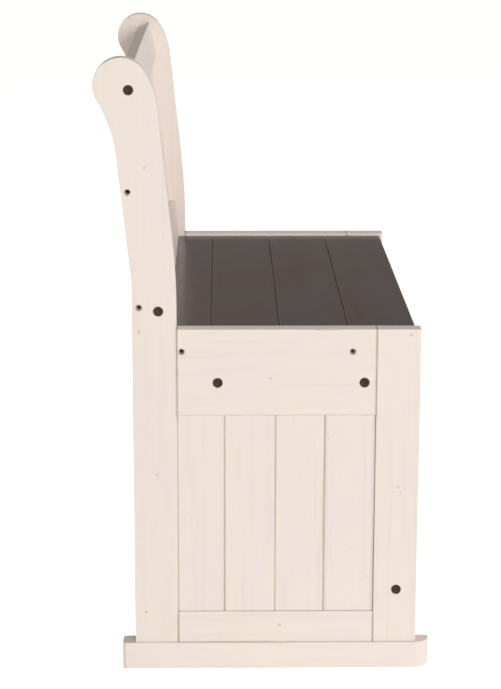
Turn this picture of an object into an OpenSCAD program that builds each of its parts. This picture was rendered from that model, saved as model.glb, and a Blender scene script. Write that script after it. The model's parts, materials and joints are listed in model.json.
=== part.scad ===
// Short bench with plank-panelled sides, a scrolled plank back and a dark plank seat.
// X runs along the seat, the front faces -Y, Z is up and the floor is at Z = 0.

/* [Overall] */
// Width over the outer faces of the two side frames
bench_w = 740; // [560:5:1400]
// Height from the floor to the top of the scrolled legs
bench_h = 864; // [800:2:960]
// Height from the floor to the top of the side frames
side_h = 494; // [450:2:520]

/* [Side frames] */
// Thickness of the legs and rails of a side frame
frame_t = 24; // [20:1:32]
// Width of a leg, seen from the side
leg_w = 60.8; // [56:0.1:70]
// Distance between the front leg and the rear leg
apron_l = 274.8; // [240:0.1:400]
// Height of the rail beside the seat
apron_h = 122; // [112:1:150]
// Height of the rail above the foot
low_rail_h = 46; // [36:1:70]
// Thickness of the side planks
side_plank_t = 15; // [12:0.5:18]
// Depth of the side planks' outer faces behind the frame
side_plank_set = 1.5; // [0:0.1:3]
// Distance from the rear leg to the first groove between the side planks
side_groove_1 = 65.2; // [56:0.1:80]
// Distance from the rear leg to the second groove
side_groove_2 = 135.7; // [124:0.1:150]
// Distance from the rear leg to the third groove
side_groove_3 = 203.8; // [190:0.1:214]

/* [Feet] */
// Height of a foot
foot_h = 39; // [30:1:60]
// Thickness of a foot
foot_t = 29; // [26:1:40]
// Length of a foot in front of the front leg
foot_front = 20; // [10:0.5:40]
// Length of a foot behind the rear leg
foot_back = 18; // [10:0.5:40]
// Radius of the foot's outer front corner
foot_toe_r = 22; // [4:1:25]
// Radius of the foot's other corners
foot_corner_r = 5; // [1:0.5:12]

/* [Scrolled legs] */
// Lean of the back from upright, in degrees
back_lean = 6.1; // [3:0.1:8]
// Height at which the rear edge of the leg starts to lean
knee_z = 556; // [535:1:580]
// Height at which the front edge of the leg starts to bend
bend_z = 518; // [515:1:540]
// Radius of the bend in the front edge
bend_r = 1000; // [600:10:1400]
// Radius of the scroll at the top
scroll_r = 37.4; // [32:0.1:40]
// How far the scroll stands behind the leaning edge
scroll_proud = 20.3; // [12:0.1:22]
// Radius of the shoulder in front of the scroll
shoulder_r = 115; // [80:5:140]
// Radius of the hollow behind the scroll
neck_r = 190; // [100:5:220]

/* [Back] */
// Height of the rail that stands on the seat
back_rail_h = 62; // [50:1:80]
// Height of the crest rail
crest_h = 57; // [50:1:70]
// Thickness of the crest rail and the lower back rail
back_rail_t = 21.5; // [20:0.5:24]
// Distance from the rear leg's front face back to the lower back rail
back_inset = 11; // [6:0.5:20]
// Lean of the crest rail from upright, in degrees
crest_lean = 12; // [8:0.5:16]
// Drop of the crest rail's top edge towards the back
crest_bevel = 7; // [0:0.5:10]
// Distance of the crest rail's centre in front of the scroll's centre
crest_fwd = 10.2; // [8:0.2:12]
// Distance of the crest rail's centre below the scroll's centre
crest_drop = 5.9; // [2:0.1:12]
// Lean of the back planks from upright, in degrees
plank_lean = 6.8; // [6.2:0.1:7.2]
// Thickness of the back planks
back_plank_t = 9; // [7:0.5:10]
// Distance of the back planks behind the lower rail's front face, at the seat
back_plank_set = 8.5; // [7:0.5:9]

/* [Seat] */
// Depth of the seat's top below the top of the side frames
seat_drop = 4.5; // [2:0.5:12]
// Thickness of the seat planks
seat_t = 19; // [16:1:24]
// Width of the three full seat planks
seat_plank_w = 95; // [85:1:110]
// Distance from the rear leg's front face to the first seat groove
first_groove = 47; // [30:1:60]
// Distance of the seat's front edge behind the front of the legs
seat_back_off = 4.8; // [4:0.1:20]
// Thickness of the battens under the seat
batten_t = 19; // [15:1:25]
// Width of a batten
batten_w = 45; // [36:1:60]
// Distance from a side frame to the nearest batten
batten_in = 40; // [30:1:80]

/* [Rails across the bench] */
// Height of the seat bearers and of the front stretcher
cross_h = 66; // [50:1:80]
// Thickness of the seat bearers and of the front stretcher
cross_t = 24; // [20:1:32]
// Distance from the rear leg to the rear bearer's centre
rear_bearer_in = 56; // [30:1:80]
// Distance from the front leg to the front bearer's centre
front_bearer_in = 16.6; // [14:0.1:60]
// Distance from the front of the legs to the stretcher's centre
stretcher_in = 28.7; // [20:0.1:34]
// Height of the stretcher's centre above the floor
stretcher_z = 117; // [90:1:200]

/* [Bolts, plugs and dowels] */
// Radius of the plugs that hide the bolt heads
plug_r = 6.6; // [6.4:0.1:8]
// Thickness of a plug
plug_t = 6; // [3:0.5:8]
// Radius of the connector bolts' shanks
bolt_r = 3; // [2.5:0.5:4]
// Length of the connector bolts under the head
bolt_l = 60; // [50:1:80]
// Radius of a connector bolt's head
bolt_head_r = 6; // [5:0.1:6.3]
// Thickness of a connector bolt's head
bolt_head_h = 3; // [2:0.5:4]
// Radius of the barrel nuts
nut_r = 5; // [4.5:0.5:6]
// Length of the barrel nuts
nut_l = 14; // [12:0.5:15]
// Distance from a rail's end to its barrel nut
nut_in = 34; // [25:1:36]
// Radius of the dowels in the side frames
dowel_r = 4; // [3:0.5:5]
// Length of the dowels
dowel_l = 40; // [30:1:50]
// Radius of the wood screws' shanks
screw_r = 2.2; // [1.5:0.1:2.5]
// Radius of the wood screws' heads
screw_head_r = 4.2; // [3.5:0.1:5]

/* [Holes for joining a second bench] */
// Radius of the joining holes
link_r = 3.3; // [2.5:0.1:4.5]
// Depth of the joining holes in the rail
link_depth = 18; // [12:0.5:20]
// Distance from the rear leg to the first joining hole in the rail
link_first = 6.6; // [5.5:0.1:12]
// Distance between the two joining holes in the rail
link_pitch = 235; // [180:1:238]
// Depth of those holes below the top of the side frame
link_drop = 31.5; // [26:0.5:34]
// Distance of the leg's joining holes from its rear edge
link_leg_in = 9.5; // [8:0.5:14]
// Height of the leg's lower joining hole
link_leg_low = 524.3; // [515:0.1:545]
// Depth of the leg's lower joining hole
link_low_depth = 18; // [17.5:0.5:20]
// Height of the leg's upper joining hole
link_leg_high = 683.6; // [600:0.1:740]
// Depth of the leg's upper joining hole
link_high_depth = 15; // [12:0.5:16.5]

/* [Fits] */
// Gap round a tongue, a bolt head or a nut
fit_gap = 0.2; // [0.1:0.05:0.4]
// Gap round a plug, a dowel or a screw
snug_gap = 0.05; // [0.02:0.01:0.1]
// Gap between neighbouring planks
plank_gap = 0.3; // [0.1:0.05:0.8]
// Size of the chamfer along a plank's edge
groove_c = 1.5; // [0.8:0.1:2.5]

/* [Hidden] */
$fn = 48;

paint = "#efe6dc";
stain = "#594d4a";
plug_brown = "#463a31";
beech = "#d8b98a";
steel = "#b8b8b4";

back_plank_count = 10;

// Tongues of the side planks and the seat planks
tongue_t = 5;
tongue_l = 6;
// Tongues of the thinner back planks
thin_tongue_t = 3;
thin_tongue_l = 4;
// Depth to which the back planks stand in the rails
back_plank_in = 8;
// Extra depth at the bottom of a blind groove or hole
blind_room = 1;
// Overlap that carries a cut past a face
past = 1;

inner_w = bench_w - 2 * frame_t;
low_rail_top = foot_h + low_rail_h;
apron_z = side_h - apron_h;
seat_z = side_h - seat_drop;
seat_under = seat_z - seat_t;
bearer_z = seat_under - batten_t - cross_h / 2;

// The rear leg's front face and the scroll, in the leg's own plane: [back from that face, up]
bend_end = [bend_r * (1 - cos(back_lean)), bend_z + bend_r * sin(back_lean)];
scroll_z = bench_h - scroll_r;
function rear_edge(z) = leg_w + max(0, z - knee_z) * tan(back_lean);
scroll_in = (scroll_r - scroll_proud) / cos(back_lean);
scroll_c = [rear_edge(scroll_z) - scroll_in, scroll_z];

// Depth of the bench from the toes of the feet to the back of the scrolls
bench_front = apron_l + leg_w + foot_front;
scroll_reach = scroll_c[0] + scroll_r;
leg_y = (bench_front - scroll_reach) / 2;
front_leg_y = leg_y - apron_l;
front_y = front_leg_y - leg_w;

crest_y = leg_y + scroll_c[0] - crest_fwd;
crest_z = scroll_z - crest_drop;
back_y = leg_y + back_inset;

// The lower back rail's centre
low_back_y = back_y + back_rail_t / 2 * cos(back_lean) + back_rail_h / 2 * sin(back_lean);
low_back_z = seat_z + back_rail_h / 2 * cos(back_lean) - back_rail_t / 2 * sin(back_lean);

// Centres of the five rails across the bench, which the connector bolts go through
rear_bearer_y = leg_y - rear_bearer_in;
front_bearer_y = front_leg_y + front_bearer_in;
stretcher_y = front_y + stretcher_in;
rail_centres = [
  [crest_y, crest_z], [low_back_y, low_back_z],
  [rear_bearer_y, bearer_z], [front_bearer_y, bearer_z], [stretcher_y, stretcher_z]
];
rail_leans = [crest_lean, back_lean, 0, 0, 0];

head_seat = plug_t + snug_gap + bolt_head_h;

// Points along an arc from angle a to angle b
function arc(c, r, a, b, steps) =
  [for (i = [0:steps]) let (t = a + (b - a) * i / steps) c + r * [cos(t), sin(t)]];

// Outline of the scrolled rear leg, back from its front face and up
back_normal = [cos(back_lean), -sin(back_lean)];
function turned(a) = [cos(back_lean + a), -sin(back_lean + a)];
shoulder_turn = acos((shoulder_r - (scroll_c - bend_end) * back_normal) / (shoulder_r - scroll_r));
neck_turn = acos((neck_r + scroll_r - scroll_proud) / (neck_r + scroll_r));
shoulder_c = scroll_c + (shoulder_r - scroll_r) * turned(shoulder_turn);
neck_c = scroll_c + (neck_r + scroll_r) * turned(neck_turn);
face_angle = 180 - back_lean;
rear_leg_outline = concat(
  [[0, foot_h]],
  arc([bend_r, bend_z], bend_r, 180, face_angle, 6),
  arc(shoulder_c, shoulder_r, face_angle, face_angle - shoulder_turn, 6),
  arc(scroll_c, scroll_r, face_angle - shoulder_turn, -back_lean - neck_turn, 26),
  arc(neck_c, neck_r, face_angle - neck_turn, face_angle, 6),
  [[leg_w, knee_z], [leg_w, foot_h]]
);

// Places of the side frame's dowels: [y, z] of each joint line between a leg and a rail
dowel_up = 18;
dowel_down = 14;
dowel_zs = [apron_z + dowel_up, side_h - dowel_down, foot_h + low_rail_h / 2];
dowel_places = [for (y = [leg_y, front_leg_y]) for (z = dowel_zs) [y, z]];

foot_y0 = front_y - foot_front;
foot_y1 = leg_y + leg_w + foot_back;
foot_screw_ys = [front_leg_y - leg_w / 2, leg_y - apron_l / 2, leg_y + leg_w / 2];
// Depth of the screw heads in the foot's underside
foot_screw_sink = 10;
foot_screw_l = 60;

// Joining holes: two in the side rail and two in the rear leg, as [y, z, depth]
link_rail_z = side_h - link_drop;
link_rail_ys = [leg_y - link_first, leg_y - link_first - link_pitch];
link_leg_holes = [
  for (h = [[link_leg_low, link_low_depth], [link_leg_high, link_high_depth]])
    [leg_y + rear_edge(h[0]) - link_leg_in, h[0], h[1]]
];

// Grooves that hold the side planks
panel_z0 = low_rail_top;
panel_z1 = apron_z;
tongue_x = side_plank_set + side_plank_t / 2;
// Edges of the side planks, measured from the rear leg
side_plank_edges = [0, side_groove_1, side_groove_2, side_groove_3, apron_l];

// Seat planks, from the back: front edges of the planks
seat_front_y = front_y + seat_back_off;
seat_edges = [
  leg_y - first_groove + seat_plank_w, leg_y - first_groove,
  leg_y - first_groove - seat_plank_w, leg_y - first_groove - 2 * seat_plank_w, seat_front_y
];
seat_l = inner_w - 2 * plank_gap;
// Distances of the battens' ends from the seat's front and back edges
batten_front_in = 28;
batten_back_in = 18;
batten_y0 = seat_front_y + batten_front_in;
batten_y1 = seat_edges[0] - batten_back_in;
batten_side = inner_w / 2 - batten_in - batten_w / 2;
batten_xs = [-batten_side, 0, batten_side];
// Depths to which the screws reach into the seat planks and the battens
plank_screw_bite = 13;
bearer_screw_l = 52;
bearer_screw_bite = 14;

// The crest rail's underside, measured in the leaning frame of the back planks
plank_y = back_y + back_plank_set;
crest_tilt = crest_lean - plank_lean;
crest_dy = crest_y - plank_y;
crest_dz = crest_z - seat_z;
crest_up = crest_dz * cos(plank_lean) + crest_dy * sin(plank_lean);
crest_in = crest_dy * cos(plank_lean) - crest_dz * sin(plank_lean);
under_up = crest_up - crest_h / 2 * cos(crest_tilt);
under_in = crest_in - crest_h / 2 * sin(crest_tilt);
plank_under = under_up - (back_plank_t / 2 - under_in) * tan(crest_tilt);
back_plank_z0 = back_rail_h * cos(back_lean) - back_plank_in;
back_plank_z1 = plank_under + back_plank_in;

// Extrudes an outline drawn in Y and Z along X
module from_side(x, t) {
  translate([x, 0, 0]) rotate([90, 0, 90]) linear_extrude(t) children();
}

module on_right() {
  mirror([1, 0, 0]) children();
}

// A hole along X, from x0 to x1
module x_hole(y, z, r, x0, x1) {
  translate([x0, y, z]) rotate([0, 90, 0]) cylinder(r = r, h = x1 - x0);
}

// Bores through a side frame for one connector bolt, its head and its plug
module bolt_bores(p) {
  x = -bench_w / 2;
  x_hole(p[0], p[1], plug_r + snug_gap, x - past, x + head_seat);
  x_hole(p[0], p[1], bolt_r + fit_gap, x, x + frame_t + past);
}

// Blind bores for the dowels at the joint lines
module dowel_bores() {
  for (p = dowel_places)
    translate([-bench_w / 2 + frame_t / 2, p[0], p[1]]) rotate([90, 0, 0])
      cylinder(r = dowel_r + snug_gap, h = dowel_l + blind_room, center = true);
}

// The groove that runs round the side panel
module panel_groove() {
  translate([
    -bench_w / 2 + tongue_x - tongue_t / 2 - fit_gap,
    front_leg_y - tongue_l - fit_gap,
    panel_z0 - tongue_l - fit_gap
  ])
    cube([
      tongue_t + 2 * fit_gap,
      apron_l + 2 * (tongue_l + fit_gap),
      panel_z1 - panel_z0 + 2 * (tongue_l + fit_gap)
    ]);
}

module rear_leg() {
  color(paint) difference() {
    translate([0, leg_y, 0]) from_side(-bench_w / 2, frame_t) polygon(rear_leg_outline);
    for (i = [0, 1]) bolt_bores(rail_centres[i]);
    for (h = link_leg_holes)
      x_hole(h[0], h[1], link_r, -bench_w / 2 - past, -bench_w / 2 + h[2]);
    dowel_bores();
    panel_groove();
    foot_screw_bores();
  }
}

module front_leg() {
  color(paint) difference() {
    translate([-bench_w / 2, front_y, foot_h]) cube([frame_t, leg_w, side_h - foot_h]);
    bolt_bores(rail_centres[4]);
    dowel_bores();
    panel_groove();
    foot_screw_bores();
  }
}

module side_rail() {
  color(paint) difference() {
    translate([-bench_w / 2, front_leg_y, apron_z]) cube([frame_t, apron_l, apron_h]);
    for (i = [2, 3]) bolt_bores(rail_centres[i]);
    for (y = link_rail_ys)
      x_hole(y, link_rail_z, link_r, -bench_w / 2 - past, -bench_w / 2 + link_depth);
    dowel_bores();
    panel_groove();
  }
}

module low_rail() {
  color(paint) difference() {
    translate([-bench_w / 2, front_leg_y, foot_h]) cube([frame_t, apron_l, low_rail_h]);
    dowel_bores();
    panel_groove();
    foot_screw_bores();
  }
}

// Bores from under the foot up into the legs and the low rail
module foot_screw_bores() {
  for (y = foot_screw_ys) translate([-bench_w / 2 + frame_t / 2, y, 0]) {
    translate([0, 0, -past]) cylinder(r = screw_head_r + fit_gap, h = foot_screw_sink + past);
    cylinder(r = screw_r + snug_gap, h = foot_screw_sink + foot_screw_l + blind_room);
  }
}

module foot() {
  x0 = -bench_w / 2 - (foot_t - frame_t) / 2;
  x1 = x0 + foot_t;
  toe = foot_toe_r;
  c = foot_corner_r;
  color(paint) difference() {
    linear_extrude(foot_h) polygon(concat(
      arc([x0 + toe, foot_y0 + toe], toe, 180, 270, 10),
      arc([x1 - c, foot_y0 + c], c, 270, 360, 5),
      arc([x1 - c, foot_y1 - c], c, 0, 90, 5),
      arc([x0 + c, foot_y1 - c], c, 90, 180, 5)
    ));
    foot_screw_bores();
  }
}

screw_tip_r = 0.3;

// A screw standing on its head at the origin, pointing up
module wood_screw(l) {
  cone_h = screw_head_r - screw_r;
  cylinder(r1 = screw_head_r, r2 = screw_r, h = cone_h);
  cylinder(r = screw_r, h = l - 2 * screw_r);
  translate([0, 0, l - 2 * screw_r]) cylinder(r1 = screw_r, r2 = screw_tip_r, h = 2 * screw_r);
}

module foot_screws() {
  color(steel) for (y = foot_screw_ys)
    translate([-bench_w / 2 + frame_t / 2, y, foot_screw_sink - screw_head_r + screw_r])
      wood_screw(foot_screw_l);
}

module frame_dowels() {
  color(beech) for (p = dowel_places)
    translate([-bench_w / 2 + frame_t / 2, p[0], p[1]]) rotate([90, 0, 0])
      cylinder(r = dowel_r, h = dowel_l, center = true);
}

// A plank standing on its end: its width along X and its show face at Y = 0.
// Each edge has a tongue where its flag is 1 and a groove where it is -1.
module plank(w, l, t, c, tongue, reach, left_edge, right_edge) {
  half = w / 2 - plank_gap / 2;
  difference() {
    linear_extrude(l) polygon([
      [-half, t], [-half, c], [-half + c, 0], [half - c, 0], [half, c], [half, t]
    ]);
    for (side = [[-1, left_edge], [1, right_edge]]) if (side[1] == -1)
      translate([side[0] * half, t / 2, l / 2])
        cube([2 * (reach + fit_gap), tongue + 2 * fit_gap, l + 2 * past], center = true);
  }
  for (side = [[-1, left_edge], [1, right_edge]]) if (side[1] == 1)
    translate([side[0] > 0 ? half - past : -half - reach, t / 2 - tongue / 2, 0])
      cube([reach + past, tongue, l]);
}

// Side plank i, counted from the rear leg
module side_plank(i) {
  w = side_plank_edges[i + 1] - side_plank_edges[i];
  l = panel_z1 - panel_z0 - plank_gap;
  last = i == len(side_plank_edges) - 2;
  y = leg_y - (side_plank_edges[i] + side_plank_edges[i + 1]) / 2;
  end_half = w / 2 - plank_gap / 2 - tongue_l - fit_gap;
  color(paint) translate([-bench_w / 2 + side_plank_set, y, panel_z0 + plank_gap / 2]) rotate([0, 0, -90]) {
    plank(w, l, side_plank_t, groove_c, tongue_t, tongue_l, 1, last ? 1 : -1);
    translate([-end_half, (side_plank_t - tongue_t) / 2, -tongue_l])
      cube([2 * end_half, tongue_t, l + 2 * tongue_l]);
  }
}

// Places a part in the leaning frame of the back planks: their front face at Y = 0 and the seat at Z = 0
module plank_frame() {
  translate([0, plank_y, seat_z]) rotate([-plank_lean, 0, 0]) children();
}

// Two ends of a rail that is centred on the origin: bores for the bolts and the barrel nuts
module rail_end_bores(t) {
  for (s = [-1, 1]) translate([s * inner_w / 2, 0, 0]) {
    rotate([0, 90, 0])
      cylinder(r = bolt_r + fit_gap, h = 2 * (bolt_l - frame_t + head_seat + blind_room), center = true);
    translate([-s * nut_in, -nut_l / 2 - fit_gap, 0]) rotate([-90, 0, 0])
      cylinder(r = nut_r + snug_gap, h = t + nut_l / 2);
  }
}

// A rail across the bench, centred on the origin. Its top edge drops by bevel towards the back.
module cross_rail(h, t, bevel = 0) {
  difference() {
    from_side(-inner_w / 2, inner_w) polygon([
      [-t / 2, -h / 2], [t / 2, -h / 2], [t / 2, h / 2 - bevel], [-t / 2, h / 2]
    ]);
    rail_end_bores(t);
  }
}

// The space that the back planks take up, with clearance
module back_plank_slot() {
  plank_frame() translate([-inner_w / 2 - past, -fit_gap, back_plank_z0 - blind_room])
    cube([inner_w + 2 * past, back_plank_t + 2 * fit_gap, back_plank_z1 - back_plank_z0 + 2 * blind_room]);
}

module crest_rail() {
  color(paint) difference() {
    translate([0, crest_y, crest_z]) rotate([-crest_lean, 0, 0])
      cross_rail(crest_h, back_rail_t, crest_bevel);
    back_plank_slot();
  }
}

module lower_back_rail() {
  color(paint) difference() {
    translate([0, low_back_y, low_back_z]) rotate([-back_lean, 0, 0])
      cross_rail(back_rail_h, back_rail_t);
    back_plank_slot();
    translate([-inner_w / 2, leg_y, seat_z - 2 * past]) cube([inner_w, leg_w, 2 * past]);
  }
}

// Back plank i, counted from the left side
module back_plank(i) {
  w = inner_w / back_plank_count;
  x = -inner_w / 2 + (i + 0.5) * w;
  last = i == back_plank_count - 1;
  color(paint) plank_frame() translate([x, 0, back_plank_z0])
    plank(w, back_plank_z1 - back_plank_z0, back_plank_t, groove_c, thin_tongue_t, thin_tongue_l,
      i == 0 ? 0 : 1, last ? 0 : -1);
}

module seat_bearer(y) {
  color(paint) difference() {
    translate([0, y, bearer_z]) cross_rail(cross_h, cross_t);
    for (x = batten_xs) bearer_screw_bore(x, y);
  }
}

module rear_seat_bearer() {
  seat_bearer(rear_bearer_y);
}

module front_seat_bearer() {
  seat_bearer(front_bearer_y);
}

module front_stretcher() {
  color(paint) translate([0, stretcher_y, stretcher_z]) cross_rail(cross_h, cross_t);
}

// Underside of the head of a screw that rises from a bearer into a batten
bearer_top = bearer_z + cross_h / 2;
bearer_screw_z = bearer_top + bearer_screw_bite - bearer_screw_l;

module bearer_screw_bore(x, y) {
  cone_h = screw_head_r - screw_r;
  translate([x, y, bearer_screw_z - cross_h]) cylinder(r = screw_head_r + fit_gap, h = cross_h + cone_h);
  translate([x, y, bearer_screw_z]) cylinder(r = screw_r + snug_gap, h = bearer_screw_l + blind_room);
}

module bearer_screws() {
  color(steel) for (x = batten_xs) for (y = [rear_bearer_y, front_bearer_y])
    translate([x, y, bearer_screw_z]) wood_screw(bearer_screw_l);
}

plank_screw_l = batten_t + plank_screw_bite;
plank_screw_ys = [for (i = [0:3]) (seat_edges[i] + seat_edges[i + 1]) / 2];

module plank_screw_bores() {
  for (x = batten_xs) for (y = plank_screw_ys) translate([x, y, seat_under - batten_t]) {
    cylinder(r1 = screw_head_r + snug_gap, r2 = screw_r + snug_gap, h = screw_head_r - screw_r);
    cylinder(r = screw_r + snug_gap, h = plank_screw_l + blind_room);
  }
}

module plank_screws() {
  color(steel) for (x = batten_xs) for (y = plank_screw_ys)
    translate([x, y, seat_under - batten_t]) wood_screw(plank_screw_l);
}

module seat_batten(x) {
  color(stain) difference() {
    translate([x - batten_w / 2, batten_y0, seat_under - batten_t])
      cube([batten_w, batten_y1 - batten_y0, batten_t]);
    plank_screw_bores();
    for (y = [rear_bearer_y, front_bearer_y]) bearer_screw_bore(x, y);
  }
}

// Seat plank i, counted from the back
module seat_plank(i) {
  w = seat_edges[i] - seat_edges[i + 1];
  first = i == 0;
  last = i == 3;
  color(stain) difference() {
    translate([seat_l / 2, seat_edges[i + 1] + w / 2, seat_z]) rotate([-90, 0, 90])
      plank(w, seat_l, seat_t, groove_c, tongue_t, tongue_l, last ? 0 : -1, first ? 0 : 1);
    plank_screw_bores();
  }
}

module plugs() {
  color(plug_brown) for (p = rail_centres)
    x_hole(p[0], p[1], plug_r, -bench_w / 2, -bench_w / 2 + plug_t);
}

module connector_bolts() {
  x = -bench_w / 2 + plug_t + snug_gap;
  color(steel) for (p = rail_centres) {
    x_hole(p[0], p[1], bolt_head_r, x, x + bolt_head_h);
    x_hole(p[0], p[1], bolt_r, x, x + bolt_head_h + bolt_l);
  }
}

module barrel_nuts() {
  color(steel) for (i = [0:len(rail_centres) - 1])
    translate([-inner_w / 2 + nut_in, rail_centres[i][0], rail_centres[i][1]])
      rotate([-rail_leans[i], 0, 0]) difference() {
        rotate([90, 0, 0]) cylinder(r = nut_r, h = nut_l, center = true);
        rotate([0, 90, 0]) cylinder(r = bolt_r + snug_gap, h = 3 * nut_r, center = true);
      }
}

rear_leg();  // left_rear_leg
on_right() rear_leg();  // right_rear_leg
front_leg();  // left_front_leg
on_right() front_leg();  // right_front_leg
side_rail();  // left_side_rail
on_right() side_rail();  // right_side_rail
low_rail();  // left_low_rail
on_right() low_rail();  // right_low_rail
foot();  // left_foot
on_right() foot();  // right_foot
side_plank(0);  // left_side_plank_1
side_plank(1);  // left_side_plank_2
side_plank(2);  // left_side_plank_3
side_plank(3);  // left_side_plank_4
on_right() side_plank(0);  // right_side_plank_1
on_right() side_plank(1);  // right_side_plank_2
on_right() side_plank(2);  // right_side_plank_3
on_right() side_plank(3);  // right_side_plank_4
frame_dowels();  // left_frame_dowels
on_right() frame_dowels();  // right_frame_dowels
foot_screws();  // left_foot_screws
on_right() foot_screws();  // right_foot_screws
crest_rail();
lower_back_rail();
back_plank(0);  // back_plank_1
back_plank(1);  // back_plank_2
back_plank(2);  // back_plank_3
back_plank(3);  // back_plank_4
back_plank(4);  // back_plank_5
back_plank(5);  // back_plank_6
back_plank(6);  // back_plank_7
back_plank(7);  // back_plank_8
back_plank(8);  // back_plank_9
back_plank(9);  // back_plank_10
rear_seat_bearer();
front_seat_bearer();
front_stretcher();
seat_plank(0);  // seat_plank_1
seat_plank(1);  // seat_plank_2
seat_plank(2);  // seat_plank_3
seat_plank(3);  // seat_plank_4
seat_batten(batten_xs[0]);  // left_seat_batten
seat_batten(batten_xs[1]);  // middle_seat_batten
seat_batten(batten_xs[2]);  // right_seat_batten
plank_screws();
bearer_screws();
plugs();  // left_plugs
on_right() plugs();  // right_plugs
connector_bolts();  // left_connector_bolts
on_right() connector_bolts();  // right_connector_bolts
barrel_nuts();  // left_barrel_nuts
on_right() barrel_nuts();  // right_barrel_nuts
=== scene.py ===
# Short bench: painted plank sides on long feet, a scrolled plank back and a dark plank seat.
import json
import math
import bmesh
import bpy
from mathutils import Matrix, Vector, noise
from mathutils.bvhtree import BVHTree


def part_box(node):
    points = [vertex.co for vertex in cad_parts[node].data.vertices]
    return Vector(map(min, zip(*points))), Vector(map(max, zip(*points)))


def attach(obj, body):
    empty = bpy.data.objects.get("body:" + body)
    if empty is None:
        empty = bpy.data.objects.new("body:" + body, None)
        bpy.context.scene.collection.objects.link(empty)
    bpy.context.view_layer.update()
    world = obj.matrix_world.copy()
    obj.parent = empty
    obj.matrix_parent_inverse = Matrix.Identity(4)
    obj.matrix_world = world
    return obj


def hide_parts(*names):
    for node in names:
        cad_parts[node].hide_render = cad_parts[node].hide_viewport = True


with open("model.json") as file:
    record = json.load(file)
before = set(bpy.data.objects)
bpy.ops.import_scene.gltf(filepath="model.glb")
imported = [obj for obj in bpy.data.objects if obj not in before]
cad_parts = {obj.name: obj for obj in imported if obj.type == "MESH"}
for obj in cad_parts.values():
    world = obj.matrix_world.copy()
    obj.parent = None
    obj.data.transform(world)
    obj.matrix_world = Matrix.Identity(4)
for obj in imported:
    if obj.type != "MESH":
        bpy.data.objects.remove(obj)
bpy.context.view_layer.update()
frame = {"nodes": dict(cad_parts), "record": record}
nodes = frame["nodes"]
slotOf = {part["node"]: part["material_slot"] for part in frame["record"]["subparts"]}
mm = 0.001
sideFace = 0.370  # from the middle of the bench to a side frame's outer face
print("frame loaded:", len(nodes), "nodes")


def screenColour(red, green, blue):
    # 0-255 screen values to the linear colour that shaders take
    steps = [value / 255 for value in (red, green, blue)]
    linear = [step / 12.92 if step <= 0.04045 else ((step + 0.055) / 1.055) ** 2.4 for step in steps]
    return linear + [1.0]


# Material building

def startMaterial(name):
    material = bpy.data.materials.new(name)
    material.use_nodes = True
    return material, material.node_tree, material.node_tree.nodes["Principled BSDF"]


def addNode(tree, kind, inputs=None, **settings):
    node = tree.nodes.new(kind)
    for key, value in settings.items():
        setattr(node, key, value)
    for key, value in (inputs or {}).items():
        if isinstance(value, bpy.types.NodeSocket):
            tree.links.new(value, node.inputs[key])
        else:
            node.inputs[key].default_value = value
    return node


def attribute(tree, name):
    return addNode(tree, "ShaderNodeAttribute", attribute_name=name)


def offsetFrom(tree, vector, origin):
    return addNode(tree, "ShaderNodeVectorMath", {0: vector, 1: origin}, operation="SUBTRACT").outputs[0]


def scaled(tree, vector, scales):
    return addNode(tree, "ShaderNodeVectorMath", {0: vector, 1: scales}, operation="MULTIPLY").outputs[0]


def lengthOf(tree, vector):
    return addNode(tree, "ShaderNodeVectorMath", {0: vector}, operation="LENGTH").outputs["Value"]


def stretched(tree, vector, scales):
    # scales along and across the board, so that a texture runs in streaks
    along, across = scales
    return scaled(tree, vector, (along, across, across))


def noiseOf(tree, vector, scale=1.0, detail=2.0, rough=0.5):
    return addNode(tree, "ShaderNodeTexNoise", {"Vector": vector, "Scale": scale, "Detail": detail,
                                                "Roughness": rough}).outputs["Fac"]


def between(tree, value, low, high, toLow=0.0, toHigh=1.0):
    return addNode(tree, "ShaderNodeMapRange", {"Value": value, "From Min": low, "From Max": high,
                                                "To Min": toLow, "To Max": toHigh}).outputs["Result"]


def times(tree, first, second):
    return addNode(tree, "ShaderNodeMath", {0: first, 1: second}, operation="MULTIPLY").outputs[0]


def plus(tree, first, second):
    return addNode(tree, "ShaderNodeMath", {0: first, 1: second}, operation="ADD").outputs[0]


def blended(tree, amount, first, second):
    mix = addNode(tree, "ShaderNodeMix", data_type="RGBA")
    for socket, value in ((0, amount), (6, first), (7, second)):
        if isinstance(value, bpy.types.NodeSocket):
            tree.links.new(value, mix.inputs[socket])
        else:
            mix.inputs[socket].default_value = value
    return mix.outputs[2]


def bumped(tree, shader, height, depth):
    bump = addNode(tree, "ShaderNodeBump", {"Height": height, "Strength": 1.0, "Distance": depth})
    tree.links.new(bump.outputs["Normal"], shader.inputs["Normal"])


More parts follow.
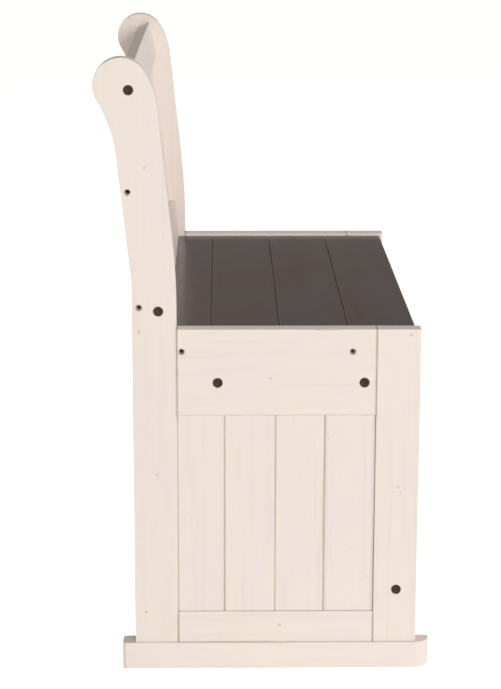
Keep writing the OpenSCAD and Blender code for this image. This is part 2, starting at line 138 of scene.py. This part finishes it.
# The paint: antique white, brushed on thin, with the wood showing through a little
whitePaint = dict(
    rosy=screenColour(244, 231, 228),
    creamy=screenColour(245, 234, 222),
    streak=screenColour(229, 214, 203),
    # colour of the dark joints: dirt, and painted shade under the side rails and beside the front legs
    grimeAndShade=screenColour(158, 130, 108),
    bareEdge=screenColour(226, 211, 195),
    knot=screenColour(190, 166, 148),
    holeStain=screenColour(118, 96, 80),
    # texture scales along and across the grain
    mottle=(9, 16),
    broad=(3, 95),
    fine=(16, 620),
    speck=(120, 260),
    knotCells=(3.1, 7.0),
    # how much of its colour each of them adds at most
    broadAmount=0.4,
    fineAmount=0.25,
    speckAmount=0.4,
    knotAmount=0.35,
    markAmount=0.55,
    wearAmount=0.6,
    # how far the stain spreads from a hole's rim, and how strong it is
    joinStain=(2.6 * mm, 0.7),
    plugStain=(1.3 * mm, 0.45),
    # the stain fades out between these depths under the outer face
    stainDepths=(2.0 * mm, 3.5 * mm),
    roughness=0.5,
    grainDepth=0.08 * mm,
    # small dents and knots of the left side frame: (y, z), half length and half height in mm
    marks=[((0.1643, 0.7172), 3.0, 2.4), ((0.1748, 0.4900), 2.2, 4.2), ((0.1507, 0.2872), 3.4, 2.4),
           ((0.1681, 0.0837), 2.4, 2.0), ((-0.0200, 0.0649), 3.6, 2.8), ((0.0238, 0.0122), 3.2, 2.2),
           ((-0.1849, 0.2674), 3.0, 2.2), ((-0.1985, 0.4859), 3.4, 2.4), ((-0.0058, 0.4247), 4.0, 2.0),
           ((-0.0740, 0.4932), 13.0, 1.0)],
    markDepth=2.5 * mm,
)


def stainRound(tree, place, ragged, look, holes, stain):
    # strongest at the rim of each hole in the outer face, and gone within the spread
    spread, strength = stain
    amount = 0.0
    for y, z, radius in holes:
        away = lengthOf(tree, scaled(tree, offsetFrom(tree, place, (0.0, y, z)), (0.0, 1.0, 1.0)))
        ring = between(tree, plus(tree, away, ragged), radius, radius + spread, strength, 0.0)
        amount = addNode(tree, "ShaderNodeMath", {0: ring, 1: amount}, operation="MAXIMUM").outputs[0]
    across = addNode(tree, "ShaderNodeSeparateXYZ", {0: place}).outputs["X"]
    out = addNode(tree, "ShaderNodeMath", {0: across}, operation="ABSOLUTE").outputs[0]
    whole, gone = look["stainDepths"]
    return times(tree, amount, between(tree, out, sideFace - gone, sideFace - whole))


def paintMaterial(name, look):
    material, tree, shader = startMaterial(name)
    grain = attribute(tree, "grain").outputs["Vector"]
    seam = attribute(tree, "seam").outputs["Fac"]
    edge = attribute(tree, "edge").outputs["Fac"]
    mottle = noiseOf(tree, stretched(tree, grain, look["mottle"]), detail=3.0, rough=0.6)
    broad = noiseOf(tree, stretched(tree, grain, look["broad"]), detail=3.0, rough=0.6)
    fine = noiseOf(tree, stretched(tree, grain, look["fine"]))
    speck = noiseOf(tree, stretched(tree, grain, look["speck"]), detail=1.0)
    colour = blended(tree, between(tree, mottle, 0.35, 0.65), look["rosy"], look["creamy"])
    colour = blended(tree, between(tree, broad, 0.52, 0.85, 0.0, look["broadAmount"]), colour, look["streak"])
    colour = blended(tree, between(tree, fine, 0.5, 0.9, 0.0, look["fineAmount"]), colour, look["streak"])
    # knots under the paint: few, small, drawn out along the grain
    cells = addNode(tree, "ShaderNodeTexVoronoi",
                    {"Vector": stretched(tree, grain, look["knotCells"]), "Scale": 1.0})
    knots = between(tree, cells.outputs["Distance"], 0.02, 0.05, look["knotAmount"], 0.0)
    colour = blended(tree, knots, colour, look["knot"])
    colour = blended(tree, between(tree, speck, 0.76, 0.84, 0.0, look["speckAmount"]), colour, look["knot"])
    place = addNode(tree, "ShaderNodeTexCoord").outputs["Object"]
    for (y, z), halfLength, halfHeight in look["marks"]:
        size = (1 / look["markDepth"], 1 / (halfLength * mm), 1 / (halfHeight * mm))
        away = lengthOf(tree, scaled(tree, offsetFrom(tree, place, (-sideFace, y, z)), size))
        away = plus(tree, away, between(tree, speck, 0.3, 0.7, -0.3, 0.3))
        colour = blended(tree, between(tree, away, 0.35, 1.1, look["markAmount"], 0.0), colour, look["knot"])
    ragged = between(tree, speck, 0.3, 0.7, -0.5 * mm, 0.5 * mm)
    for holes, stain in ((joiningHoles, look["joinStain"]), (plugHoles, look["plugStain"])):
        amount = stainRound(tree, place, ragged, look, holes, stain)
        colour = blended(tree, amount, colour, look["holeStain"])
    worn = times(tree, edge, between(tree, broad, 0.42, 0.62, 0.0, look["wearAmount"]))
    colour = blended(tree, worn, colour, look["bareEdge"])
    # dark joints: dirt, and at a few joints painted shade
    dirtAndShade = times(tree, seam, between(tree, mottle, 0.35, 0.65, 0.6, 1.0))
    colour = blended(tree, dirtAndShade, colour, look["grimeAndShade"])
    tree.links.new(colour, shader.inputs["Base Color"])
    dull = between(tree, mottle, 0.2, 0.8, look["roughness"] - 0.07, look["roughness"] + 0.1)
    tree.links.new(dull, shader.inputs["Roughness"])
    height = plus(tree, times(tree, broad, 0.9), times(tree, fine, 0.35))
    height = plus(tree, height, times(tree, speck, 0.2))
    bumped(tree, shader, height, look["grainDepth"])
    return material


# The seat: dark brown satin stain, grain drawn along the planks
darkStain = dict(
    deep=screenColour(55, 28, 21),
    brown=screenColour(77, 46, 37),
    pore=screenColour(38, 21, 17),
    rubbed=screenColour(112, 94, 85),
    # texture scales along and across the grain
    cloud=(5, 14),
    figure=(2.6, 85),
    pores=(14, 560),
    # how much of its colour each of them adds at most
    figureAmount=0.5,
    poreAmount=0.6,
    rubbedAmount=0.35,
    jointAmount=0.7,
    roughness=0.3,
    shine=0.2,
    varnish=0.28,
    varnishRoughness=0.16,
    grainDepth=0.16 * mm,
)


def stainMaterial(name, look):
    material, tree, shader = startMaterial(name)
    grain = attribute(tree, "grain").outputs["Vector"]
    edge = attribute(tree, "edge").outputs["Fac"]
    seam = attribute(tree, "seam").outputs["Fac"]
    cloud = noiseOf(tree, stretched(tree, grain, look["cloud"]), detail=3.0, rough=0.55)
    figure = noiseOf(tree, stretched(tree, grain, look["figure"]), detail=4.0, rough=0.6)
    pores = noiseOf(tree, stretched(tree, grain, look["pores"]))
    colour = blended(tree, between(tree, cloud, 0.3, 0.7), look["deep"], look["brown"])
    colour = blended(tree, between(tree, figure, 0.5, 0.8, 0.0, look["figureAmount"]), colour, look["pore"])
    colour = blended(tree, between(tree, pores, 0.55, 0.85, 0.0, look["poreAmount"]), colour, look["pore"])
    rubbed = times(tree, edge, between(tree, cloud, 0.4, 0.65, 0.0, look["rubbedAmount"]))
    colour = blended(tree, rubbed, colour, look["rubbed"])
    colour = blended(tree, between(tree, seam, 0.4, 1.0, 0.0, look["jointAmount"]), colour, look["pore"])
    tree.links.new(colour, shader.inputs["Base Color"])
    dull = between(tree, cloud, 0.2, 0.8, look["roughness"] - 0.06, look["roughness"] + 0.08)
    tree.links.new(dull, shader.inputs["Roughness"])
    shader.inputs["Specular IOR Level"].default_value = look["shine"]
    shader.inputs["Coat Weight"].default_value = look["varnish"]
    shader.inputs["Coat Roughness"].default_value = look["varnishRoughness"]
    height = plus(tree, times(tree, figure, 0.8), times(tree, pores, 0.5))
    bumped(tree, shader, height, look["grainDepth"])
    return material


# Bare wood: the plugs, the walls of drilled holes and the dowels
darkPlug = dict(light=screenColour(76, 57, 41), dark=screenColour(52, 38, 27),
                roughness=0.5, shine=0.25, rings=900.0)
holeWall = dict(light=screenColour(88, 68, 52), dark=screenColour(52, 39, 30),
                roughness=0.8, shine=0.1, rings=900.0)
beechDowel = dict(light=screenColour(214, 184, 146), dark=screenColour(186, 150, 110),
                  roughness=0.6, shine=0.5, rings=500.0)


def woodMaterial(name, look):
    material, tree, shader = startMaterial(name)
    shader.inputs["Specular IOR Level"].default_value = look["shine"]
    place = addNode(tree, "ShaderNodeTexCoord").outputs["Object"]
    rings = noiseOf(tree, stretched(tree, place, (look["rings"] * 0.2, look["rings"])), detail=3.0, rough=0.6)
    patches = noiseOf(tree, place, 180.0)
    colour = blended(tree, between(tree, rings, 0.35, 0.7), look["light"], look["dark"])
    colour = blended(tree, between(tree, patches, 0.5, 0.75, 0.0, 0.4), colour, look["dark"])
    tree.links.new(colour, shader.inputs["Base Color"])
    dull = between(tree, patches, 0.3, 0.7, look["roughness"] - 0.05, look["roughness"] + 0.08)
    tree.links.new(dull, shader.inputs["Roughness"])
    bumped(tree, shader, rings, 0.08 * mm)
    return material


# Bolts, nuts and screws
zincPlate = dict(bright=screenColour(196, 197, 196), dull=screenColour(168, 170, 172),
                 spangle=420.0, brushed=(2400.0, 300.0), roughness=(0.26, 0.42), scratchDepth=0.02 * mm)


def zincMaterial(name, look):
    material, tree, shader = startMaterial(name)
    place = addNode(tree, "ShaderNodeTexCoord").outputs["Object"]
    spangle = noiseOf(tree, place, look["spangle"])
    brushed = noiseOf(tree, stretched(tree, place, look["brushed"]))
    colour = blended(tree, between(tree, spangle, 0.35, 0.65), look["bright"], look["dull"])
    tree.links.new(colour, shader.inputs["Base Color"])
    shader.inputs["Metallic"].default_value = 1.0
    tree.links.new(between(tree, brushed, 0.3, 0.7, *look["roughness"]), shader.inputs["Roughness"])
    bumped(tree, shader, brushed, look["scratchDepth"])
    return material


# Boards: each is its CAD solid with eased edges, a hand-worked surface
# and marks that tell the paint where to wear, and where its joints get dirt and painted shade

woodNodes = [name for name in nodes if slotOf[name] in ("white_paint", "dark_stain")]
solidTrees = {}


def solidTree(name):
    if name not in solidTrees:
        mesh = nodes[name].data
        solidTrees[name] = BVHTree.FromPolygons([vert.co.copy() for vert in mesh.vertices],
                                                [tuple(face.vertices) for face in mesh.polygons])
    return solidTrees[name]


def neighbours(name, reach):
    low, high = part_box(name)
    found = []
    for other in woodNodes:
        otherLow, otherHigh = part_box(other)
        apart = any(otherLow[k] > high[k] + reach or otherHigh[k] < low[k] - reach for k in range(3))
        if other != name and not apart:
            found.append(other)
    return found


def cleanSolid(name):
    # the CAD mesh with its corners joined and its flat faces whole
    shape = bmesh.new()
    shape.from_mesh(nodes[name].data)
    bmesh.ops.remove_doubles(shape, verts=shape.verts, dist=0.002 * mm)
    bmesh.ops.dissolve_limit(shape, angle_limit=math.radians(0.4), use_dissolve_boundaries=False,
                             verts=shape.verts, edges=shape.edges)
    shape.normal_update()
    return shape


def easeEdges(shape, width, steps, shortest=1.3 * mm, sharp=math.radians(50)):
    # the short edges belong to drilled holes and stay crisp
    edges = [edge for edge in shape.edges if len(edge.link_faces) == 2 and edge.is_convex
             and edge.calc_face_angle(0.0) > sharp and edge.calc_length() > shortest]
    made = bmesh.ops.bevel(shape, geom=edges, offset=width, offset_type="OFFSET", segments=steps,
                           profile=0.5, affect="EDGES", clamp_overlap=False)
    return set(made["faces"])


def smoothPatches(shape, leftOut, turn=math.radians(12)):
    # groups of faces that run on into each other, always found in the same order
    waiting = dict.fromkeys(face for face in shape.faces if face not in leftOut)
    patches = []
    while waiting:
        patch, front = {}, [waiting.popitem()[0]]
        while front:
            face = front.pop()
            patch[face] = True
            for edge in face.edges:
                if len(edge.link_faces) == 2 and edge.calc_face_angle(9.0) < turn:
                    for other in edge.link_faces:
                        if other in waiting:
                            del waiting[other]
                            front.append(other)
        patches.append(patch)
    return patches


def innerRings(shape, easedFaces, inset, narrowest=3.0 * mm):
    # marks the eased edges, and keeps the mark from running in over the flat faces
    edgeMark = shape.verts.layers.float.new("edge")
    for face in easedFaces:
        for vert in face.verts:
            vert[edgeMark] = 1.0
    for patch in smoothPatches(shape, easedFaces):
        rim = sum(edge.calc_length() for face in patch for edge in face.edges
                  if any(other not in patch for other in edge.link_faces))
        if sum(face.calc_area() for face in patch) < narrowest * rim:
            continue
        bmesh.ops.inset_region(shape, faces=list(patch), thickness=inset, use_boundary=True,
                               use_even_offset=True)
        for face in patch:
            for vert in face.verts:
                vert[edgeMark] = 0.0


def dice(shape, step, extra):
    # cuts the faces into a grid, so that the surface can be worked
    for axis in range(3):
        places = [vert.co[axis] for vert in shape.verts]
        low, high = min(places), max(places)
        count = max(1, round((high - low) / step))
        cuts = [low + (high - low) * k / count for k in range(1, count)]
        cuts += [place for cutAxis, place in extra if cutAxis == axis]
        normal = Vector([float(k == axis) for k in range(3)])
        for cut in cuts:
            everything = shape.verts[:] + shape.edges[:] + shape.faces[:]
            bmesh.ops.bisect_plane(shape, geom=everything, dist=0.02 * mm, plane_co=normal * cut,
                                   plane_no=normal)


def grainAxes(along):
    along = Vector(along).normalized()
    across = Vector((0, 1, 0)) if abs(along.x) > 0.9 else Vector((1, 0, 0))
    across = (across - along * along.dot(across)).normalized()
    return along, across, along.cross(across)


def drilledHoles():
    # axes of the joining holes in the side frames, from the record: (y, z, radius)
    holes = []
    for mount in frame["record"]["mounts"]:
        _, y, z = mount["pos_m"]
        if mount["kind"] == "bore":
            holes.append((y, z, mount["dims"]["r_mm"] * mm))
        elif mount["kind"] == "bolt_pattern":
            half = mount["dims"]["spacing_x_mm"] * mm / 2
            radius = mount["dims"]["hole_r_mm"] * mm
            holes += [(y + half, z, radius), (y - half, z, radius)]
    return holes


def plugCentres(name):
    # axes of the plugs, from their solids: (y, z, radius)
    shape = cleanSolid(name)
    waiting, centres = set(shape.verts), []
    while waiting:
        disc, front = [], [waiting.pop()]
        while front:
            vert = front.pop()
            disc.append(vert.co.copy())
            for edge in vert.link_edges:
                other = edge.other_vert(vert)
                if other in waiting:
                    waiting.discard(other)
                    front.append(other)
        low = [min(co[k] for co in disc) for k in range(3)]
        high = [max(co[k] for co in disc) for k in range(3)]
        centres.append(((low[1] + high[1]) / 2, (low[2] + high[2]) / 2, (high[1] - low[1]) / 2))
    shape.free()
    return sorted(centres)


joiningHoles = drilledHoles()
plugHoles = plugCentres("left_plugs")

paintedWood = paintMaterial("antique_white_paint", whitePaint)
stainedWood = stainMaterial("dark_brown_stain", darkStain)
plugWood = woodMaterial("plug_dark_wood", darkPlug)
holeWood = woodMaterial("hole_wall_wood", holeWall)
beechWood = woodMaterial("dowel_beech", beechDowel)
zincSteel = zincMaterial("zinc_plated_steel", zincPlate)
print("materials made")


def inHole(point, normal, slack=0.12 * mm, shallowest=1.5 * mm, deepest=23 * mm):
    # the walls of a hole and the bottom of a blind one, but neither face of the board
    if abs(normal.x) > 0.5 and not sideFace - deepest < abs(point.x) < sideFace - shallowest:
        return False
    return any(math.hypot(point.y - y, point.z - z) < radius + slack
               for y, z, radius in joiningHoles + plugHoles)


# How the surface of every board is worked
boardWork = dict(
    stillWithin=3 * mm,  # nearer than this to its neighbours a board keeps closer to its true face
    chipReach=2.5 * mm,  # how wide and high a worn chip is
    seedStep=3.7,
    crease=math.radians(38),
)


def boardSolid(name, look, chips):
    shape = cleanSolid(name)
    eased = easeEdges(shape, look["ease"], look["easeSteps"])
    innerRings(shape, eased, look["ring"])
    low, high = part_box(name)
    extra = [(2, seatTop), (2, seatTop + look["seamWidth"])]
    for axis in range(3):
        extra += [(axis, low[axis] + look["seamWidth"]), (axis, high[axis] - look["seamWidth"])]
    for (x, y, z), length, depth in chips:
        extra += [(1, y + length * k / 4) for k in (-2, -1, 0, 1, 2)]
    dice(shape, look["grid"], extra)
    shape.normal_update()
    return shape


def grimyAndShadedJoints(name, look, near):
    # the neighbours whose joints with this board are darkened: dirt, and at a few joints painted shade
    side = name.split("_")[0]
    grimeAndShadeFrom = [other for other in near if side not in ("left", "right") or other.startswith(side)]
    return [other for other in grimeAndShadeFrom if not other.startswith(look["cleanBy"])]


def jointAt(point, look, near, grimeAndShadeFrom, reach):
    # distance to the nearest neighbour, and how dark the joint is painted: dirt, and at a few joints painted
    # shade
    gap, seam = boardWork["stillWithin"], 0.0
    for other in near:
        _, normal, _, away = solidTree(other).find_nearest(point, reach)
        if away is None:
            continue
        gap = min(gap, away)
        if other in grimeAndShadeFrom:
            dirtAndShade = look["grimeAndShade"] * (look["levelGrimeAndShade"] if abs(normal.z) > 0.7 else 1.0)
            seam = max(seam, dirtAndShade * (1.0 - away / look["seamWidth"]))
    return gap, seam


def workedDepth(point, look, axes, seed, gap, chips):
    # how deep the hand-worked waves and the worn chips lie at this point
    local = Vector([point.dot(axis) for axis in axes])
    along, across = look["waves"]
    wander = noise.noise(Vector((local.x * along, local.y * across + seed, local.z * across)))
    free = min(1.0, gap / boardWork["stillWithin"]) ** 2
    depth = look["wave"] * free * (0.5 + 0.5 * wander)
    reach = boardWork["chipReach"]
    for (x, y, z), length, chipDepth in chips:
        off = Vector(((point.x - x) / reach, (point.y - y) / (length / 2), (point.z - z) / reach))
        depth += chipDepth * max(0.0, 1.0 - off.length)
    return depth


def makeBoard(name, look, along, chips=()):
    shape = boardSolid(name, look, chips)
    reach = max(boardWork["stillWithin"], look["seamWidth"])
    near = neighbours(name, reach)
    grimeAndShadeFrom = grimyAndShadedJoints(name, look, near)
    seed = boardWork["seedStep"] * woodNodes.index(name)
    axes = grainAxes(along)
    seams, moves = [], []
    for vert in shape.verts:
        gap, seam = jointAt(vert.co, look, near, grimeAndShadeFrom, reach)
        seams.append(seam)
        moves.append(vert.normal * -workedDepth(vert.co, look, axes, seed, gap, chips))
    for vert, move in zip(shape.verts, moves):
        vert.co += move
    for face in shape.faces:
        face.smooth = True
        if look["drilled"] and inHole(face.calc_center_median(), face.normal):
            face.material_index = 1
    for edge in shape.edges:
        edge.smooth = edge.calc_face_angle(0.0) < boardWork["crease"]
    mesh = bpy.data.meshes.new(name + "_board")
    shape.to_mesh(mesh)
    shape.free()
    # what the paint reads: the dark joints, dirt with painted shade at a few, and coordinates that run with
    # the grain
    seamData = mesh.attributes.new("seam", "FLOAT", "POINT")
    seamData.data.foreach_set("value", seams)
    grainData = mesh.attributes.new("grain", "FLOAT_VECTOR", "POINT")
    offset = Vector((seed, seed * 0.6, seed * 0.3))
    flat = []
    for vert in mesh.vertices:
        flat += [vert.co.dot(axis) + offset[k] for k, axis in enumerate(axes)]
    grainData.data.foreach_set("vector", flat)
    board = bpy.data.objects.new(name + "_board", mesh)
    bpy.context.collection.objects.link(board)
    mesh.materials.append(look["material"])
    if look["drilled"]:
        mesh.materials.append(holeWood)
    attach(board, "root")
    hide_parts(name)


upright, lengthways, fromFront = (0, 0, 1), (1, 0, 0), (0, 1, 0)
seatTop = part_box("seat_plank_4")[1].z

# Side frames: legs, rails and feet, drilled for the plugs and for the joining pins
sideFrame = dict(
    material=paintedWood,
    ease=0.6 * mm,
    easeSteps=3,
    ring=1.0 * mm,
    grid=12 * mm,
    wave=0.45 * mm,
    waves=(7.0, 22.0),
    # dark joints: dirt, and painted shade under the side rails and beside the front legs; and how much of it
    # lies on top of what the board meets
    seamWidth=2.4 * mm,
    grimeAndShade=0.75,
    levelGrimeAndShade=0.0,
    cleanBy="none",
    drilled=True,
)
railChips = [((-sideFace, -0.093, 0.4943), 17 * mm, 1.6 * mm)]  # place, length and depth
for side in ("left", "right"):
    makeBoard(side + "_rear_leg", dict(sideFrame, cleanBy=side + "_side_plank"), upright)
    makeBoard(side + "_front_leg", dict(sideFrame, grimeAndShade=0.6), upright)
    # the dark joint along the rail's underside is painted shade under the rail as well as dirt
    makeBoard(side + "_side_rail", dict(sideFrame, levelGrimeAndShade=1.0), fromFront,
              railChips if side == "left" else ())
    makeBoard(side + "_low_rail", sideFrame, fromFront)
    makeBoard(side + "_foot", sideFrame, fromFront)
print("side frames made")

# Planks of the side panels
sidePlanks = dict(sideFrame, ease=0.4 * mm, easeSteps=1, wave=0.25 * mm, grimeAndShade=0.05, drilled=False)
for side in ("left", "right"):
    for number in range(1, 4):
        makeBoard("%s_side_plank_%d" % (side, number), sidePlanks, upright)
    # the wide dark bands along this plank's joints are painted shade: the front leg's shadow on the plank
    makeBoard(side + "_side_plank_4", dict(sidePlanks, grimeAndShade=0.4, seamWidth=6 * mm), upright)
print("side planks made")

# Back: crest rail, lower rail and the thin planks between them
backRails = dict(sideFrame, ease=1.2 * mm, levelGrimeAndShade=0.3, drilled=False)
makeBoard("crest_rail", backRails, lengthways)
makeBoard("lower_back_rail", backRails, lengthways)
backPlanks = dict(sidePlanks, ease=0.3 * mm)
lean = math.radians(6.8)
plankLean = (0, math.sin(lean), math.cos(lean))
for number in range(1, 11):
    makeBoard("back_plank_%d" % number, backPlanks, plankLean)
print("back made")

# Seat: dark planks on battens, on painted bearers; the rearmost joint is clean
seatPlanks = dict(sideFrame, material=stainedWood, ease=0.8 * mm, wave=0.3 * mm, levelGrimeAndShade=0.3,
                  drilled=False)
cleanJoints = {1: "seat_plank_2", 2: "seat_plank_1"}
for number in range(1, 5):
    cleanBy = cleanJoints.get(number, "none")
    makeBoard("seat_plank_%d" % number, dict(seatPlanks, cleanBy=cleanBy), lengthways)
for place in ("left", "middle", "right"):
    makeBoard(place + "_seat_batten", dict(seatPlanks, ease=1.0 * mm), fromFront)
for name in ("rear_seat_bearer", "front_seat_bearer", "front_stretcher"):
    makeBoard(name, backRails, lengthways)
print("seat made")


# Plugs: turned discs with a soft rim, sunk a little below the face
plugLook = dict(radius=6.6 * mm, sink=0.7 * mm, depth=6.0 * mm, rim=0.7 * mm, dish=0.25 * mm, around=40)


def plugProfile(look):
    # from the middle to the rim: distance from the axis, and drop below the plug's top
    rimSteps = [(look["rim"] * (1 - math.sin(angle)), look["rim"] * (1 - math.cos(angle)))
                for angle in (math.pi * k / 8 for k in range(5))]
    profile = [(0.02 * mm, look["dish"]), (look["radius"] * 0.45, look["dish"] * 0.8),
               (look["radius"] * 0.5, look["dish"] * 0.2), (look["radius"] - look["rim"] * 1.6, 0.0)]
    profile += [(look["radius"] - inset, drop) for inset, drop in rimSteps]
    return profile + [(look["radius"], look["depth"] - look["sink"])]


def makePlugs(name, outward):
    look = plugLook
    around = look["around"]
    shape = bmesh.new()
    for y, z, _ in plugHoles:
        loops = []
        for radius, drop in plugProfile(look):
            x = outward * sideFace - outward * (look["sink"] + drop)
            turns = [2 * math.pi * k / around for k in range(around)]
            loops.append([shape.verts.new((x, y + radius * math.cos(turn), z + radius * math.sin(turn)))
                          for turn in turns])
        for ring, nextRing in zip(loops, loops[1:]):
            for k in range(around):
                j = (k + 1) % around
                shape.faces.new((ring[k], ring[j], nextRing[j], nextRing[k]))
        shape.faces.new(loops[0])
        shape.faces.new(loops[-1])
    bmesh.ops.recalc_face_normals(shape, faces=shape.faces)
    for face in shape.faces:
        face.smooth = len(face.verts) == 4
    mesh = bpy.data.meshes.new(name + "_turned")
    shape.to_mesh(mesh)
    shape.free()
    plugs = bpy.data.objects.new(name + "_turned", mesh)
    bpy.context.collection.objects.link(plugs)
    mesh.materials.append(plugWood)
    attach(plugs, "root")
    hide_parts(name)


makePlugs("left_plugs", -1)
makePlugs("right_plugs", 1)

# Dowels, bolts, nuts and screws keep their CAD shapes
for name, node in nodes.items():
    if slotOf[name] in ("beech", "zinc_steel"):
        finish = beechWood if slotOf[name] == "beech" else zincSteel
        node.data.materials.clear()
        node.data.materials.append(finish)
print("hardware made")


# Studio: a plain pale floor and soft light, most of it from the camera's side
studio = dict(
    floorSize=60.0,
    floorWhite=screenColour(240, 239, 237),
    floorGlow=0.3,
    floorSeen=0.88,
    skyLight=0.28,
    skyTint=(1.0, 0.965, 0.925, 1.0),
    key=dict(place=(-8.2, -3.4, 2.7), aim=(0.0, 0.0, 0.42), size=3.2, power=374.0),
    fill=dict(place=(-2.6, 2.6, 1.4), aim=(0.0, 0.0, 0.5), size=2.4, power=3.0),
    front=dict(place=(0.6, -3.6, 2.3), aim=(0.0, 0.0, 0.5), size=2.0, power=40.0),
    rear=dict(place=(3.0, 3.2, 0.95), aim=(0.0, 0.0, 0.5), size=2.0, power=26.0),
)


def makeFloor():
    half = studio["floorSize"] / 2
    shape = bmesh.new()
    corners = [shape.verts.new((x * half, y * half, 0)) for x, y in ((-1, -1), (1, -1), (1, 1), (-1, 1))]
    shape.faces.new(corners)
    mesh = bpy.data.meshes.new("studio_floor")
    shape.to_mesh(mesh)
    shape.free()
    floor = bpy.data.objects.new("studio_floor", mesh)
    bpy.context.collection.objects.link(floor)
    material, tree, shader = startMaterial("studio_floor")
    shader.inputs["Base Color"].default_value = studio["floorWhite"]
    shader.inputs["Roughness"].default_value = 0.9
    shader.inputs["Emission Color"].default_value = studio["floorWhite"]
    seen = addNode(tree, "ShaderNodeLightPath").outputs["Is Camera Ray"]
    tree.links.new(between(tree, seen, 0.0, 1.0, studio["floorGlow"], studio["floorSeen"]),
                   shader.inputs["Emission Strength"])
    mesh.materials.append(material)


def makeWorld():
    world = bpy.data.worlds.new("studio_white")
    bpy.context.scene.world = world
    world.use_nodes = True
    tree = world.node_tree
    tree.nodes.clear()
    seen = addNode(tree, "ShaderNodeBackground", {"Color": (1, 1, 1, 1), "Strength": 1.0})
    lighting = addNode(tree, "ShaderNodeBackground",
                       {"Color": studio["skyTint"], "Strength": studio["skyLight"]})
    rays = addNode(tree, "ShaderNodeLightPath")
    mix = addNode(tree, "ShaderNodeMixShader",
                  {0: rays.outputs["Is Camera Ray"], 1: lighting.outputs[0], 2: seen.outputs[0]})
    output = addNode(tree, "ShaderNodeOutputWorld")
    tree.links.new(mix.outputs[0], output.inputs[0])


def makeLight(name):
    look = studio[name]
    lamp = bpy.data.lights.new(name + "_light", "AREA")
    lamp.shape = "SQUARE"
    lamp.size = look["size"]
    lamp.energy = look["power"]
    light = bpy.data.objects.new(name + "_light", lamp)
    light.location = look["place"]
    away = Vector(look["place"]) - Vector(look["aim"])
    light.rotation_euler = away.to_track_quat("Z", "Y").to_euler()
    bpy.context.collection.objects.link(light)


# Where the photograph was taken from: beside the left side frame, well above the seat
photoCamera = dict(
    place=(-3.13446, 0.06196, 1.14416),
    right=(-0.01411, -0.99990, 0.00179),
    back=(-0.97166, 0.01413, 0.23595),
    focalPixels=2078.34,
    framePixels=689,  # the photograph's longer side
    sensor=36.0,
)


def makeCamera():
    look = photoCamera
    right = Vector(look["right"]).normalized()
    back = Vector(look["back"]).normalized()
    up = back.cross(right).normalized()
    lens = bpy.data.cameras.new("photo_camera")
    lens.sensor_width = look["sensor"]
    lens.lens = look["focalPixels"] / look["framePixels"] * lens.sensor_width
    camera = bpy.data.objects.new("photo_camera", lens)
    turn = Matrix((right, up, back)).transposed().to_4x4()
    camera.matrix_world = Matrix.Translation(look["place"]) @ turn
    bpy.context.collection.objects.link(camera)
    bpy.context.scene.camera = camera


makeFloor()
makeWorld()
for name in ("key", "fill", "front", "rear"):
    makeLight(name)
makeCamera()
bpy.context.scene.view_settings.view_transform = "Standard"
print("studio made")
